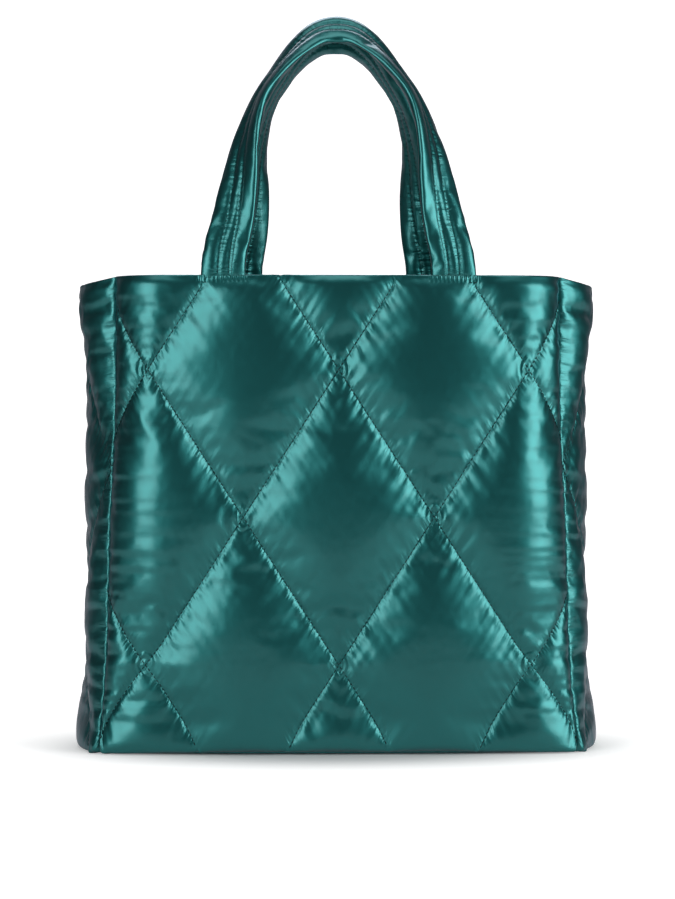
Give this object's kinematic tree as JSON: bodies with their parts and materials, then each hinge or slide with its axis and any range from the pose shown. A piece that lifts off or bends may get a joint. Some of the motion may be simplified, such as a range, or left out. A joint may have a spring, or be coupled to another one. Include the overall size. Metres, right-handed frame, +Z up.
{
  "type": "puffer tote bag",
  "caption": "Open-topped padded tote bag with diamond-quilted panels, bulging side gussets, a flat base and two standing padded handles.",
  "frame": {"origin": "on the floor, under the centre of the bag's bounding box", "axes": "+Z up, +X to the right of a person facing the front panel, -Y out of the front panel"},
  "size_m": [0.4502, 0.1856, 0.6367],
  "materials": {
    "shell": "metallic teal quilted nylon",
    "gusset": "metallic teal quilted nylon",
    "base": "metallic teal nylon",
    "strap": "metallic teal padded nylon, stitched in two channels",
    "thread": "dark teal sewing thread"
  },
  "bodies": {
    "root": {"front_panel": "shell", "back_panel": "shell", "left_gusset": "gusset", "right_gusset": "gusset", "bottom_panel": "base", "front_handle": "strap", "back_handle": "strap"}
  },
  "joints": []
}
